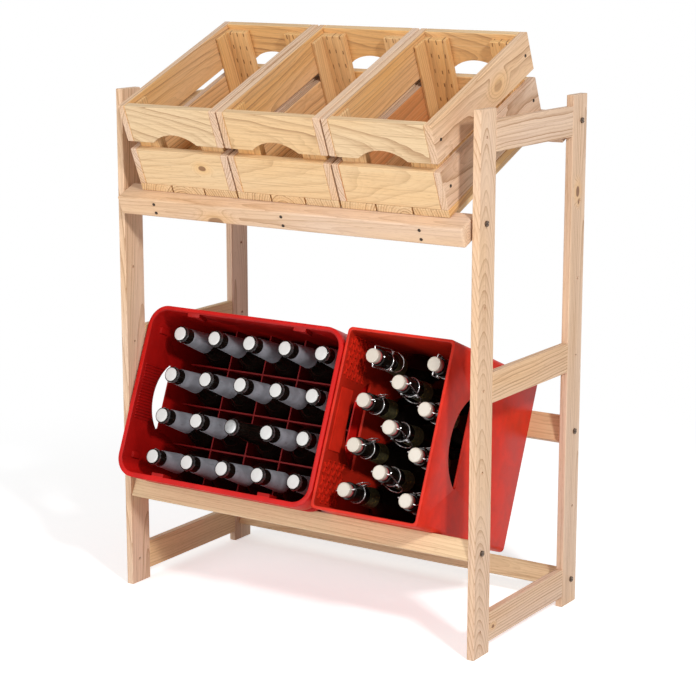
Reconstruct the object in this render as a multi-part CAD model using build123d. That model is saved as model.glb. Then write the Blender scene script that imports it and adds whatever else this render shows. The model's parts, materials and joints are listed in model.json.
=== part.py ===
"""Crate display rack: a pine rack with two tilted shelves, three wooden crates and two bottle crates.

Millimetres, +Z up, +X to the right as seen from the front, the front towards -Y. The origin is at the middle
of the footprint, on the floor.
"""
from build123d import *
import math
import os

os.makedirs("parts", exist_ok=True)

# Rack frame
RACK_W = 698.0  # over the outer faces of the posts
RACK_D = 352.0  # over the front and rear edges of the posts
POST_H = 865.0
SLAT_T = 13.0  # posts and rails are cut from one slat
SLAT_W = 49.0
EASE = 1.5  # eased edges of the pine

# Row of holes in each post
HOLE_COUNT = 7
HOLE_D = 5.0
HOLE_END = 42.5  # from either end of a post to its nearest hole
HOLE_EDGE = 20.0  # from the outer edge of a post
TOP_FRONT, TOP_REAR = 1, 0  # holes that carry the upper shelf, counted from the top
LOW_FRONT, LOW_REAR, LEAN_REAR = 5, 6, 4  # holes that carry the lower shelf and its lean bar

# Shelf bars
BAR_T = 27.0
BAR_H = 33.0
UPPER_BAR_D = 49.0  # front to back size of the upper shelf's front and rear bars
UPPER_OVER = 42.5  # the upper front bar reaches this far in front of its hole
UPPER_TOP = 12.5  # top of the upper bars above the line through the holes
UPPER_END = 4.0  # gap between the upper bars and the posts
BEARER_X = 256.0
LEAN_T = 24.0
LEAN_H = 45.0

# Fastenings
DOWEL_D = 6.0
DOWEL_L = 40.0
DOWEL_SPREAD = 28.0
SCREW_D = 4.0
SCREW_L = 62.0
SCREW_HEAD_D = 9.0
SCREW_HEAD_T = 3.0
SCREW_SLOT = 1.2
NAIL_D = 2.2
NAIL_HEAD_D = 5.2
NAIL_HEAD_T = 0.8
LONG_NAIL = 85.0
NAIL_RISE = 16.0  # between the two nails of a pair
PLAY = 0.1  # around a fastening
GAP = 0.3  # between pieces that move apart

# Wooden crates
CRATES = ("left", "middle", "right")
CRATE_W = 196.0
CRATE_L = 322.0
CRATE_GAP = 3.0
CRATE_FRONT = 15.0  # the crates start this far in front of the upper front holes
BOARD_T = 13.0
BOARD_H = 65.0
BOARD_GAP = 14.0
PLANK_GAP = 2.5
ARCH_W = 90.0
ARCH_RISE = 17.0
BATTEN_W = 45.0
BATTEN_DROP = 8.0  # the battens end this far below the rim
STRIP_W = 28.0
STRIP_T = 6.0
CRATE_NAIL = 36.0

# Bottle crates
RED_H = 305.0
RED_FLOOR = 12.0
RED_FOOT = 6.0  # the floor stands this far above the lower edge
RED_SIDE = 4.0  # between the left posts and the large crate
RED_GAP = 3.0  # between the two bottle crates
RING_DOWN = 56.0  # rim to the lower side of the ring round the walls
RING_T = 5.0
BIG_LIP = 5.0  # the rim band stands out from the walls
BIG_WALL = 3.0
BIG_BAND = 34.0
BIG_R = 36.0
BIG_COLS, BIG_ROWS = 5, 4
BIG_ROOM_X, BIG_ROOM_Y = 6.0, 5.0  # between bottles side by side
BIG_EDGE_X, BIG_EDGE_Y = 12.5, 0.5  # between the outer bottles and the walls
GRID_T = 2.5
GRID_TOP = 170.0
SMALL_WALL = 5.0
SMALL_R = 8.0
SMALL_IN_R = 6.0
SMALL_NEST = 9.0  # the columns of bottles stand this much closer than a bottle is wide
SMALL_ROOM_Y = 7.0
SMALL_EDGE_X = 3.5
PEG_R = 4.0
PEG_TOP = 90.0
GRIP_TOP = 48.0  # rim to the crown of a hand hole's arch
GRIP_ROUND = 5.0
BIG_GRIP_L, BIG_GRIP_LOW = 124.0, 82.0
SMALL_GRIP_L, SMALL_GRIP_LOW = 156.0, 97.0
RIB_COUNT = 19
RIB_PITCH = 5.2
RIB_T = 2.0
RIB_START = 8.0  # rim to the upper end of a rib
RIB_END = 4.0  # between a rib and the hand hole
DRAIN_D = 40.0
GUSSET_W = 24.0
GUSSET_IN = 6.0
GUSSET_DOWN = 40.0
STOP_Y, STOP_DOWN = 110.0, 35.0  # stacking stops inside the large crate
STOP_IN, STOP_W, STOP_H = 4.0, 10.0, 20.0

# Bottles
BOTTLE_R = 33.5
GLASS = 2.6
BASE_T = 5.0
BASE_ROUND = 4.0
NECK_DOWN = 80.0  # mouth to the foot of the neck
NECK_R = 17.5
LIP_DOWN = 14.0  # mouth to the lower side of the lip
CROWN_H = 270.0
LIP_R = 13.2
BORE_R = 9.0
CAP_SKIRT = 1.2  # the cap stands out this far from the lip
CAP_T = 0.6
CAP_H = 6.5
CAP_ROUND = 1.6
SLEEVE_LOW, SLEEVE_HIGH = 78.0, 23.0  # below the mouth
BARE_BOTTLE = 7  # this bottle has no sleeve
SLEEVE_T = 0.4
SWING_H = 258.0
SWING_LIP = 1.8  # a swing-top bottle's lip is this much larger
STOPPER_R = 12.0
STOPPER_H = 8.0
STOPPER_DOME = 2.0
STOPPER_EDGE = 2.5  # the dome is this much smaller at its top
STOPPER_FLAT = 1.0  # cut off at the two sides where the bail holds it
GASKET_R = 11.6
GASKET_H = 5.0
WIRE_R = 1.25
PIVOT_DOWN = 29.0  # mouth to the bail's pivots
PIVOT_OUT = 12.0  # the pivots stand beside the bottle's axis, where the top opens
PIN_GAP = 0.3
COLLAR_WIRE = 1.1
COLLAR_ROOM = 0.6  # between neck and collar
LUG_OUT = 1.5  # the lugs reach this far beyond the lip
LUG_W = 5.5
SWING_LEAN = 12.0  # the outer columns' tops open upwards, turned outwards by this, in degrees
SWING_RISE = 5.0  # those under the upper wall open inwards, turned up by this; the middle ones open down

# What follows from the sizes above
HOLE_PITCH = (POST_H - 2 * HOLE_END) / (HOLE_COUNT - 1)
HOLE_SPAN = RACK_D - 2 * HOLE_EDGE
TILT = math.atan2(HOLE_PITCH, HOLE_SPAN)
SLOPE = math.hypot(HOLE_PITCH, HOLE_SPAN)
INNER_X = RACK_W / 2 - SLAT_T
CRATE_H = BOARD_T + 2 * BOARD_H + BOARD_GAP
CRATE_BED = UPPER_TOP + GAP
OVERHANG = (CRATE_BED + CRATE_H) * math.sin(TILT) + CRATE_FRONT * math.cos(TILT) - HOLE_EDGE
FRONT = (OVERHANG - RACK_D) / 2  # front edge of the front posts
REAR = FRONT + RACK_D


def hole_z(row):
    """Height of a hole, counted from the top of the post."""
    return POST_H - HOLE_END - row * HOLE_PITCH


FRONT_HOLE = FRONT + HOLE_EDGE
REAR_HOLE = REAR - HOLE_EDGE
UPPER = Plane((0, FRONT_HOLE, hole_z(TOP_FRONT)), x_dir=(1, 0, 0), z_dir=(0, -math.sin(TILT), math.cos(TILT)))
LOWER = Plane((0, FRONT_HOLE, hole_z(LOW_FRONT)), x_dir=(1, 0, 0), z_dir=(0, math.sin(TILT), math.cos(TILT)))
LEAN_RISE = (LOW_REAR - LEAN_REAR) * HOLE_PITCH
LEAN_Y = SLOPE - LEAN_RISE * math.sin(TILT)
LEAN_Z = LEAN_RISE * math.cos(TILT)
RED_BACK = LEAN_Y - LEAN_T / 2 - GAP
RED_BED = BAR_H / 2 + GAP
BIG_PITCH_X = 2 * BOTTLE_R + BIG_ROOM_X
BIG_PITCH_Y = 2 * BOTTLE_R + BIG_ROOM_Y
BIG_INSET = BIG_LIP + BIG_WALL
BIG_W = (BIG_COLS - 1) * BIG_PITCH_X + 2 * (BOTTLE_R + BIG_EDGE_X + BIG_INSET)
RED_D = (BIG_ROWS - 1) * BIG_PITCH_Y + 2 * (BOTTLE_R + BIG_EDGE_Y + BIG_INSET)
BIG_LEFT = RED_SIDE - INNER_X
SMALL_PITCH_X = 2 * BOTTLE_R - SMALL_NEST
SMALL_PITCH_Y = 2 * BOTTLE_R + SMALL_ROOM_Y
SMALL_W = 2 * (SMALL_PITCH_X + BOTTLE_R + SMALL_EDGE_X + SMALL_WALL)
SMALL_LEFT = BIG_LEFT + BIG_W + RED_GAP


def block(x0, x1, y0, y1, z0, z1, ease=EASE):
    """A box between limits with eased edges."""
    box = Pos((x0 + x1) / 2, (y0 + y1) / 2, (z0 + z1) / 2) * Box(x1 - x0, y1 - y0, z1 - z0)
    if ease:
        box = fillet(box.edges(), ease)
    return box


def rod_x(radius, x0, x1, y, z):
    """A round rod along X."""
    return Pos((x0 + x1) / 2, y, z) * Rot(0, 90, 0) * Cylinder(radius, abs(x1 - x0))


def rod_y(radius, y0, y1, x, z):
    """A round rod along Y."""
    return Pos(x, (y0 + y1) / 2, z) * Rot(90, 0, 0) * Cylinder(radius, abs(y1 - y0))


def rod_z(radius, z0, z1, x, y):
    """A round rod along Z."""
    return Pos(x, y, (z0 + z1) / 2) * Cylinder(radius, abs(z1 - z0))


def save(name, *solids):
    """Write one named piece or group of like pieces."""
    export_step(Compound(children=list(solids)) if len(solids) > 1 else solids[0], "parts/" + name + ".step")


def spin(points):
    """Turn an outline of (radius, height) points about Z."""
    outline = [(r, 0, z) for r, z in points]
    return revolve(make_face(Polyline(*outline, close=True)), Axis.Z)


# Side frames: posts, rails and the dowels between them
SIDES = (("left", -1), ("right", 1))
RAILS = (("top", 0), ("middle", 3), ("bottom", 6))
dowels = []
for side, sign in SIDES:
    x_in = sign * INNER_X
    x_out = sign * RACK_W / 2
    x_mid = (x_in + x_out) / 2
    x_low, x_high = min(x_in, x_out), max(x_in, x_out)
    for end, y_edge, inward in (("front", FRONT, 1), ("rear", REAR, -1)):
        y_in = y_edge + inward * SLAT_W
        post = block(x_low, x_high, min(y_edge, y_in), max(y_edge, y_in), 0, POST_H)
        for row in range(HOLE_COUNT):
            post -= rod_x(HOLE_D / 2, x_in, x_out, y_edge + inward * HOLE_EDGE, hole_z(row))
        for rail, row in RAILS:
            for up in (-1, 1):
                z = hole_z(row) + up * DOWEL_SPREAD / 2
                post -= rod_y(DOWEL_D / 2 + PLAY, y_in - inward * DOWEL_L / 2, y_in, x_mid, z)
                reach = DOWEL_L / 2 - PLAY
                dowels.append(rod_y(DOWEL_D / 2, y_in - reach, y_in + reach, x_mid, z))
        save(end + "_" + side + "_post", post)
    for rail, row in RAILS:
        z = hole_z(row)
        slat = block(x_low, x_high, FRONT + SLAT_W, REAR - SLAT_W, z - SLAT_W / 2, z + SLAT_W / 2)
        for up in (-1, 1):
            for y_end, inward in ((FRONT + SLAT_W, 1), (REAR - SLAT_W, -1)):
                slat -= rod_y(
                    DOWEL_D / 2 + PLAY, y_end, y_end + inward * DOWEL_L / 2, x_mid, z + up * DOWEL_SPREAD / 2
                )
        save(side + "_" + rail + "_rail", slat)
save("rail_dowels", *dowels)


# Shelves: each bar is bored at its ends for the screws through the posts
def bored(bar, y, z):
    """Bore both ends of a bar for its screws."""
    for sign in (-1, 1):
        bar -= rod_x(SCREW_D / 2 + PLAY, sign * (RACK_W / 2 - SCREW_L - PLAY), sign * INNER_X, y, z)
    return bar


upper_x = INNER_X - UPPER_END
upper_low = UPPER_TOP - BAR_H
front_back = UPPER_BAR_D - UPPER_OVER
rear_front = SLOPE + front_back - UPPER_BAR_D
front_bar = block(-upper_x, upper_x, -UPPER_OVER, front_back, upper_low, UPPER_TOP, 2 * EASE)
rear_bar = block(-upper_x, upper_x, rear_front, SLOPE + front_back, upper_low, UPPER_TOP)
front_bar = bored(front_bar, 0, 0)
rear_bar = bored(rear_bar, SLOPE, 0)
nails = []
for name, x in (("left", -BEARER_X), ("middle", 0.0), ("right", BEARER_X)):
    bearer = block(x - BAR_T / 2, x + BAR_T / 2, front_back, rear_front, upper_low, UPPER_TOP)
    for up in (-1, 1):
        z = (upper_low + UPPER_TOP) / 2 + up * NAIL_RISE / 2
        for face, inward in ((-UPPER_OVER, 1), (SLOPE + front_back, -1)):
            tip = face + inward * LONG_NAIL
            hole = rod_y(NAIL_D / 2 + PLAY, face, tip + inward * PLAY, x, z)
            front_bar -= hole
            rear_bar -= hole
            bearer -= hole
            nail = rod_y(NAIL_D / 2, face, tip, x, z)
            nail += rod_y(NAIL_HEAD_D / 2, face - inward * NAIL_HEAD_T, face, x, z)
            nails.append(UPPER * nail)
    save("shelf_" + name + "_bearer", UPPER * bearer)
save("shelf_front_bar", UPPER * front_bar)
save("shelf_rear_bar", UPPER * rear_bar)
save("shelf_nails", *nails)

lower_front = block(-INNER_X, INNER_X, -BAR_T / 2, BAR_T / 2, -BAR_H / 2, BAR_H / 2)
save("lower_front_bar", LOWER * bored(lower_front, 0, 0))
lower_rear = block(-INNER_X, INNER_X, SLOPE - BAR_T / 2, SLOPE + BAR_T / 2, -BAR_H / 2, BAR_H / 2)
save("lower_rear_bar", LOWER * bored(lower_rear, SLOPE, 0))
lean_low, lean_high = LEAN_Z - LEAN_H / 2, LEAN_Z + LEAN_H / 2
lean = block(-INNER_X, INNER_X, LEAN_Y - LEAN_T / 2, LEAN_Y + LEAN_T / 2, lean_low, lean_high)
save("lean_bar", LOWER * bored(lean, LEAN_Y, LEAN_Z))

screws = []
screw_places = (
    (FRONT_HOLE, hole_z(TOP_FRONT)),
    (REAR_HOLE, hole_z(TOP_REAR)),
    (FRONT_HOLE, hole_z(LOW_FRONT)),
    (REAR_HOLE, hole_z(LOW_REAR)),
    (REAR_HOLE, hole_z(LEAN_REAR)),
)
for y, z in screw_places:
    for sign in (-1, 1):
        face = sign * RACK_W / 2
        screw = rod_x(SCREW_D / 2, face - sign * SCREW_L, face, y, z)
        screw += rod_x(SCREW_HEAD_D / 2, face, face + sign * SCREW_HEAD_T, y, z)
        slot = Box(SCREW_HEAD_T, SCREW_HEAD_D, SCREW_SLOT)
        screw -= Pos(face + sign * SCREW_HEAD_T, y, z) * slot
        screws.append(screw)
save("post_screws", *screws)


# Wooden crates: built once about their own middle and set side by side on the upper shelf
def wooden_crate():
    """The pieces of one wooden crate, floor at zero, front end at zero."""
    half = CRATE_W / 2
    inner = half - BOARD_T
    low_rows = (BOARD_T, BOARD_T + BOARD_H + BOARD_GAP)
    batten_top = CRATE_H - BATTEN_DROP
    sides, ends, planks, battens, pins = [], [], [], [], []
    nail_y = (BOARD_T * 1.5, CRATE_L - BOARD_T * 1.5)
    nail_rows = [low + BOARD_H / 2 for low in low_rows]
    bores = []
    for sign in (-1, 1):
        for y in nail_y:
            for z in nail_rows:
                tip = sign * (half - CRATE_NAIL)
                bores.append(rod_x(NAIL_D / 2 + PLAY, sign * half, tip - sign * PLAY, y, z))
                pin = rod_x(NAIL_D / 2, sign * half, tip, y, z)
                pins.append(pin + rod_x(NAIL_HEAD_D / 2, sign * half, sign * (half + NAIL_HEAD_T), y, z))
    for sign in (-1, 1):
        for low in low_rows:
            x_in, x_out = sign * inner, sign * half
            board = block(min(x_in, x_out), max(x_in, x_out), 0, CRATE_L, low, low + BOARD_H)
            sides.append(board - bores)
    arch_r = (ARCH_W**2 / 4 + ARCH_RISE**2) / (2 * ARCH_RISE)
    arch_z = low_rows[1] + ARCH_RISE - arch_r
    plank_w = (CRATE_W - 2 * PLANK_GAP) / 3
    for y0 in (0, CRATE_L - BOARD_T):
        middle = y0 + BOARD_T / 2
        upper = block(-inner, inner, y0, y0 + BOARD_T, low_rows[1], low_rows[1] + BOARD_H)
        ends.append(upper - rod_y(arch_r, y0, y0 + BOARD_T, 0, arch_z))
        lower = block(-inner, inner, y0, y0 + BOARD_T, low_rows[0], low_rows[0] + BOARD_H)
        for k in (-1, 0, 1):
            x = k * (plank_w + PLANK_GAP)
            lower -= rod_z(NAIL_D / 2 + PLAY, 0, CRATE_NAIL + PLAY, x, middle)
            pin = rod_z(NAIL_D / 2, NAIL_HEAD_T, CRATE_NAIL, x, middle)
            pins.append(pin + rod_z(NAIL_HEAD_D / 2, PLAY, NAIL_HEAD_T + PLAY, x, middle))
        ends.append(lower)
        for sign in (-1, 1):
            inside = BOARD_T if y0 == 0 else CRATE_L - 2 * BOARD_T
            x_in, x_out = sign * (inner - BATTEN_W), sign * inner
            batten = block(min(x_in, x_out), max(x_in, x_out), inside, inside + BOARD_T, BOARD_T, batten_top)
            battens.append(batten - bores)
            beside = 2 * BOARD_T if y0 == 0 else CRATE_L - 2 * BOARD_T - STRIP_W
            x_in = sign * (inner - STRIP_T)
            strip = block(min(x_in, x_out), max(x_in, x_out), beside, beside + STRIP_W, BOARD_T, batten_top)
            battens.append(strip)
    for k in (-1, 0, 1):
        x = k * (plank_w + PLANK_GAP)
        plank = block(x - plank_w / 2, x + plank_w / 2, 0, CRATE_L, 0, BOARD_T)
        for y0 in (0, CRATE_L - BOARD_T):
            middle = y0 + BOARD_T / 2
            plank -= rod_z(NAIL_D / 2 + PLAY, 0, BOARD_T, x, middle)
            plank -= rod_z(NAIL_HEAD_D / 2 + PLAY, 0, NAIL_HEAD_T + PLAY, x, middle)
        planks.append(plank)
    return {
        "side_boards": sides,
        "end_boards": ends,
        "floor_planks": planks,
        "corner_battens": battens,
        "nails": pins,
    }


crate_pieces = wooden_crate()
for k, name in enumerate(CRATES):
    x = (k - 1) * (CRATE_W + CRATE_GAP)
    place = UPPER * Pos(x, -CRATE_FRONT, CRATE_BED)
    for piece, solids in crate_pieces.items():
        save(name + "_crate_" + piece, *[place * solid for solid in solids])


# Bottle crates: built upright about their own middle, then laid on the lower shelf, mouths to the front
def tray(width, depth, radius, z0, z1):
    """A prism with rounded corners, centred in X and Y."""
    return Pos(0, 0, z0) * extrude(RectangleRounded(width, depth, radius), z1 - z0)


def arch_radius(length, low):
    """Radius of the arch over a hand hole."""
    rise = low - GRIP_TOP
    return (length**2 / 4 + rise**2) / (2 * rise)


def red_crate(width, lip, wall, radius, inner_r, grip_l, grip_low):
    """A moulded crate with half-moon hand holes and a plain floor. One with a lip has a band and a ring."""
    inset = lip + wall
    inside_w, inside_d = width - 2 * inset, RED_D - 2 * inset
    shell = tray(width - 2 * lip, RED_D - 2 * lip, radius - lip, 0, RED_H)
    if lip:
        shell += tray(width, RED_D, radius, RED_H - BIG_BAND, RED_H)
        shell += tray(width, RED_D, radius, RED_H - RING_DOWN, RED_H - RING_DOWN + RING_T)
    shell -= tray(inside_w, inside_d, inner_r, RED_FLOOR, RED_H)
    shell -= tray(inside_w, inside_d, inner_r, 0, RED_FOOT)
    left, right = (0, -grip_l / 2, RED_H - grip_low), (0, grip_l / 2, RED_H - grip_low)
    moon = make_face([Line(left, right), ThreePointArc(right, (0, 0, RED_H - GRIP_TOP), left)])
    moon = fillet(moon.vertices(), GRIP_ROUND)
    return shell - extrude(moon, width, dir=(1, 0, 0), both=True)


def red_place(left, width, lip):
    """Where the middle of a bottle crate's bottom stands, its mouth facing up and out."""
    middle = LOWER * Pos(left + width / 2, RED_BACK, RED_BED - lip + RED_D / 2)
    return middle * Rot(90, 0, 0)


def bottle_places_big():
    """Middles of the large crate's cells."""
    places = []
    for row in range(BIG_ROWS):
        for col in range(BIG_COLS):
            x = (col - (BIG_COLS - 1) / 2) * BIG_PITCH_X
            y = (row - (BIG_ROWS - 1) / 2) * BIG_PITCH_Y
            places.append((x, y))
    return places


def bottle_places_small():
    """Middles of the small crate's cells: two outer columns of four and three between them."""
    places = []
    for col, count in ((-1, 4), (0, 3), (1, 4)):
        for row in range(count):
            places.append((col * SMALL_PITCH_X, (row - (count - 1) / 2) * SMALL_PITCH_Y))
    return places


big_place = red_place(BIG_LEFT, BIG_W, BIG_LIP)
big_shell = red_crate(BIG_W, BIG_LIP, BIG_WALL, BIG_R, BIG_R - BIG_INSET, BIG_GRIP_L, BIG_GRIP_LOW)
big_in_x = BIG_W / 2 - BIG_INSET
big_in_y = RED_D / 2 - BIG_INSET
big_arch = arch_radius(BIG_GRIP_L, BIG_GRIP_LOW)
for x, y in bottle_places_big():
    big_shell -= rod_z(DRAIN_D / 2, RED_FOOT, RED_FLOOR, x, y)
for sign in (-1, 1):
    for k in range(RIB_COUNT):
        y = (k - (RIB_COUNT - 1) / 2) * RIB_PITCH
        foot = GRIP_TOP + big_arch - math.sqrt(big_arch**2 - y**2) - RIB_END
        rib = Box(2 * RIB_T, RIB_T, foot - RIB_START)
        big_shell += Pos(sign * big_in_x, y, RED_H - (foot + RIB_START) / 2) * rib
    for y in (-STOP_Y, STOP_Y):
        big_shell += Pos(sign * big_in_x, y, RED_H - STOP_DOWN) * Box(2 * STOP_IN, STOP_W, STOP_H)
    for x in (-1.5 * BIG_PITCH_X, 1.5 * BIG_PITCH_X):
        y = sign * (big_in_y + BIG_WALL / 2)
        tip = (x, y, RED_H - GUSSET_DOWN)
        wedge = Polyline((x - GUSSET_W / 2, y, RED_H), (x + GUSSET_W / 2, y, RED_H), tip, close=True)
        big_shell += extrude(make_face(wedge), GUSSET_IN + BIG_WALL / 2, dir=(0, -sign, 0))
save("large_crate_shell", big_place * big_shell)

plates = []
half_t = GRID_T / 2
for row in range(1, BIG_ROWS):
    y = (row - BIG_ROWS / 2) * BIG_PITCH_Y
    plates.append(block(-big_in_x, big_in_x, y - half_t, y + half_t, RED_FLOOR, GRID_TOP, 0))
for row in range(BIG_ROWS):
    y0 = -big_in_y if row == 0 else (row - BIG_ROWS / 2) * BIG_PITCH_Y + half_t
    y1 = big_in_y if row == BIG_ROWS - 1 else (row + 1 - BIG_ROWS / 2) * BIG_PITCH_Y - half_t
    for col in range(1, BIG_COLS):
        x = (col - BIG_COLS / 2) * BIG_PITCH_X
        plates.append(block(x - half_t, x + half_t, y0, y1, RED_FLOOR, GRID_TOP, 0))
save("large_crate_grid", *[big_place * plate for plate in plates])


# Bottles: hollow, in two lengths that meet at the foot of the neck
def bottle(height, lip_r):
    """Body and neck of a hollow bottle, foot at zero."""
    neck_low = height - NECK_DOWN
    lip_low = height - LIP_DOWN
    shoulder = (
        (BOTTLE_R, 0.70 * neck_low),
        (BOTTLE_R - 0.15 * (BOTTLE_R - NECK_R), 0.78 * neck_low),
        (BOTTLE_R - 0.56 * (BOTTLE_R - NECK_R), 0.90 * neck_low),
        (NECK_R, neck_low),
    )
    outside = [(0, 0), (BOTTLE_R - BASE_ROUND, 0), (BOTTLE_R, BASE_ROUND), *shoulder]
    inside = [(r - GLASS, z) for r, z in reversed(shoulder)]
    base = [(BOTTLE_R - GLASS, BASE_T), (0, BASE_T)]
    neck = [(NECK_R, neck_low), (LIP_R, lip_low), (lip_r, lip_low + GAP), (lip_r, height)]
    bore = [(BORE_R, height), (BORE_R, lip_low), (NECK_R - GLASS, neck_low)]
    return [spin(outside + inside + base), spin(neck + bore)]


crown = bottle(CROWN_H, LIP_R + PLAY)
cap_z = CROWN_H + CAP_T
cap_r = LIP_R + CAP_SKIRT
cap = spin(
    (
        (0, cap_z),
        (LIP_R - CAP_ROUND, cap_z),
        (cap_r - CAP_T, cap_z - CAP_ROUND),
        (cap_r, cap_z - CAP_H),
        (cap_r - CAP_T, cap_z - CAP_H),
        (LIP_R + 2 * PLAY, CROWN_H),
        (0, CROWN_H),
    )
)


def neck_radius(height, z):
    """Outer radius of a bottle's neck at a height."""
    share = (z - height + NECK_DOWN) / (NECK_DOWN - LIP_DOWN)
    return NECK_R + (LIP_R - NECK_R) * share


sleeve_z0, sleeve_z1 = CROWN_H - SLEEVE_LOW, CROWN_H - SLEEVE_HIGH
sleeve_r0 = neck_radius(CROWN_H, sleeve_z0) + PLAY
sleeve_r1 = neck_radius(CROWN_H, sleeve_z1) + PLAY
sleeve = spin(
    (
        (sleeve_r0, sleeve_z0),
        (sleeve_r0 + SLEEVE_T, sleeve_z0),
        (sleeve_r1 + SLEEVE_T, sleeve_z1),
        (sleeve_r1, sleeve_z1),
    )
)
stand = GAP + RED_FLOOR
big_spots = [big_place * Pos(x, y, stand) for x, y in bottle_places_big()]
save("large_crate_bottles", *[spot * length for spot in big_spots for length in crown])
save("large_crate_caps", *[spot * cap for spot in big_spots])
save("large_crate_sleeves", *[spot * sleeve for k, spot in enumerate(big_spots) if k != BARE_BOTTLE])

small_place = red_place(SMALL_LEFT, SMALL_W, 0)
small_shell = red_crate(SMALL_W, 0, SMALL_WALL, SMALL_R, SMALL_IN_R, SMALL_GRIP_L, SMALL_GRIP_LOW)
for x, y in bottle_places_small():
    small_shell -= rod_z(DRAIN_D / 2, RED_FOOT, RED_FLOOR, x, y)
save("small_crate_shell", small_place * small_shell)

# Pegs stand where three bottles leave a gap
peg_in = (SMALL_PITCH_X**2 - SMALL_PITCH_Y**2 / 4) / (2 * SMALL_PITCH_X)
pegs = []
for sign in (-1, 1):
    for row in range(3):
        pegs.append((sign * (SMALL_PITCH_X - peg_in), (row - 1) * SMALL_PITCH_Y))
    for row in range(2):
        pegs.append((sign * peg_in, (row - 0.5) * SMALL_PITCH_Y))
save("small_crate_pegs", *[small_place * rod_z(PEG_R, RED_FLOOR, PEG_TOP, x, y) for x, y in pegs])

# Swing-top bottles: a wire collar with two lugs round the neck, and a bail that turns in the lugs
swing_lip = LIP_R + SWING_LIP
swing = bottle(SWING_H, swing_lip)
pivot_z = SWING_H - PIVOT_DOWN
stopper_z = SWING_H + GAP + GASKET_H
bail_z = stopper_z + STOPPER_H / 2
collar_r = neck_radius(SWING_H, pivot_z) + COLLAR_ROOM + COLLAR_WIRE
lug_in = math.sqrt((collar_r - COLLAR_WIRE / 2) ** 2 - (PIVOT_OUT - LUG_W / 2) ** 2)
lug_out = swing_lip + LUG_OUT
bore_in = math.sqrt((collar_r + COLLAR_WIRE) ** 2 - (PIVOT_OUT - WIRE_R - PIN_GAP) ** 2)
leg_y = lug_out + PIN_GAP + WIRE_R
leg_l = math.hypot(PIVOT_OUT, bail_z - pivot_z)
leg_lean = math.degrees(math.atan2(PIVOT_OUT, bail_z - pivot_z))
flat_y = STOPPER_R - STOPPER_FLAT
collar = Pos(0, 0, pivot_z) * Torus(collar_r, COLLAR_WIRE)
for sign in (-1, 1):
    collar += Pos(PIVOT_OUT, sign * (lug_in + lug_out) / 2, pivot_z) * Box(LUG_W, lug_out - lug_in, LUG_W)
bails = []
for sign in (-1, 1):
    collar -= rod_y(WIRE_R + PIN_GAP, sign * bore_in, sign * (lug_out + PIN_GAP), PIVOT_OUT, pivot_z)
    bail = rod_y(WIRE_R, sign * (bore_in + PIN_GAP), sign * leg_y, PIVOT_OUT, pivot_z)
    bail += rod_y(WIRE_R, sign * flat_y, sign * leg_y, 0, bail_z)
    leg = Rot(0, -leg_lean, 0) * Cylinder(WIRE_R, leg_l)
    bail += Pos(PIVOT_OUT / 2, sign * leg_y, (pivot_z + bail_z) / 2) * leg
    bail += Pos(PIVOT_OUT, sign * leg_y, pivot_z) * Sphere(WIRE_R)
    bail += Pos(0, sign * leg_y, bail_z) * Sphere(WIRE_R)
    bails.append(bail)
gasket = rod_z(GASKET_R, stopper_z - GASKET_H, stopper_z, 0, 0)
dome_z = stopper_z + STOPPER_H + STOPPER_DOME / 2
stopper = rod_z(STOPPER_R, stopper_z, stopper_z + STOPPER_H, 0, 0)
stopper += Pos(0, 0, dome_z) * Cone(STOPPER_R, STOPPER_R - STOPPER_EDGE, STOPPER_DOME)
stopper &= Pos(0, 0, stopper_z) * Box(2 * STOPPER_R, 2 * flat_y, 4 * STOPPER_H)
swing_spots = []
for x, y in bottle_places_small():
    turn = 90 + SWING_LEAN
    if y > SMALL_PITCH_Y:
        turn = SWING_RISE
    if x > 0:
        turn = 180 - turn
    if x == 0:
        turn = -90
    swing_spots.append(small_place * Pos(x, y, stand) * Rot(0, 0, turn))
save("small_crate_bottles", *[spot * length for spot in swing_spots for length in swing])
save("small_crate_collars", *[spot * collar for spot in swing_spots])
for k, spot in enumerate(swing_spots):
    save("swing_top_" + str(k + 1).zfill(2), *[spot * piece for piece in (*bails, stopper, gasket)])
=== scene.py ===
"""Looks of a crate display rack: pine, moulded crates, bottles, caps, swing tops and the studio."""

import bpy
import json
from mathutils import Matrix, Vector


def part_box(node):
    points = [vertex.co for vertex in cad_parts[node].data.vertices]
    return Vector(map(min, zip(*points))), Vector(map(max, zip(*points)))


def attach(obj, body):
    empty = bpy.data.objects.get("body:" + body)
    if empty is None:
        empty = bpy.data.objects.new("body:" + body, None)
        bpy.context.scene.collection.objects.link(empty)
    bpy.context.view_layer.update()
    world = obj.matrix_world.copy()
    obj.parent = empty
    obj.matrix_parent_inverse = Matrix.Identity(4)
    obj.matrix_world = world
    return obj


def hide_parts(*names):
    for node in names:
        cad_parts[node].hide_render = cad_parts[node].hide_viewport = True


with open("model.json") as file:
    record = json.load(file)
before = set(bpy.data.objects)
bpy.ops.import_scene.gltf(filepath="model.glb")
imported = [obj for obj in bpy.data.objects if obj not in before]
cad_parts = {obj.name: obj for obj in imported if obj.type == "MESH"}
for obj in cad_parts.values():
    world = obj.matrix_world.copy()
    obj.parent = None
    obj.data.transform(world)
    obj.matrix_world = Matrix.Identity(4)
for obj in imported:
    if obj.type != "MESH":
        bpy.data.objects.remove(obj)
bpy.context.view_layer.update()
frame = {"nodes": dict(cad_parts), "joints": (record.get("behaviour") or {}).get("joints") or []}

import json
import math

import bpy
from bpy.props import FloatProperty, FloatVectorProperty, IntProperty, PointerProperty
from mathutils import Matrix, Vector

bl_info = {
    "name": "Crate Display Rack",
    "version": (1, 0, 0),
    "blender": (4, 5, 0),
    "location": "View3D > Sidebar > Crate Rack",
    "description": "Finishes and small pieces of a crate display rack",
    "category": "Object",
}

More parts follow.
